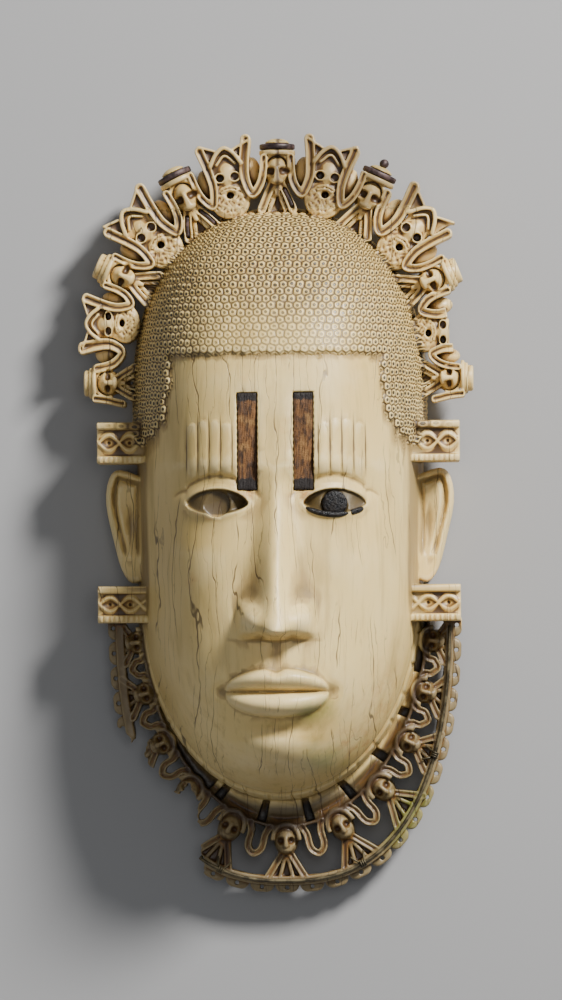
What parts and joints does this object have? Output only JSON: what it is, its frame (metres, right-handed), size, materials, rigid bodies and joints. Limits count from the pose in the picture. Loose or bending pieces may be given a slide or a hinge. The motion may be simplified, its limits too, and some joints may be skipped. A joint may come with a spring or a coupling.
{
  "type": "pendant mask",
  "caption": "Hollow carved pendant mask: calm face with inlaid forehead bars, a cap of ringlets, a tiara of small bearded heads and mudfish, side lugs and an openwork collar.",
  "frame": {"origin": "centre of the mask's outline on the plane that its open back rests on", "axes": "+X to the right as one faces the mask, +Y towards the crown, +Z out of the face"},
  "size_m": [0.1237, 0.2383, 0.0778],
  "materials": {
    "ivory": "aged ivory, softly polished, with fine grain, hairline cracks and brown dirt in the recesses",
    "rusted_iron": "fibrous brown rust with dark iron at the ends",
    "black_iron": "dark pitted iron with a dull shine",
    "dark_copper": "dark purple-brown patinated copper",
    "copper_wire": "dark olive-brown patinated copper wire"
  },
  "bodies": {
    "root": {"ivory_mask": "ivory", "forehead_inlay_left": "rusted_iron", "forehead_inlay_right": "rusted_iron", "iris_inlay": "black_iron", "hat_band_left": "dark_copper", "hat_band_centre": "dark_copper", "hat_band_right": "dark_copper", "hat_knob": "dark_copper", "beard_inlay_1": "dark_copper", "beard_inlay_2": "dark_copper", "beard_inlay_3": "dark_copper", "collar_wire": "copper_wire"}
  },
  "joints": []
}
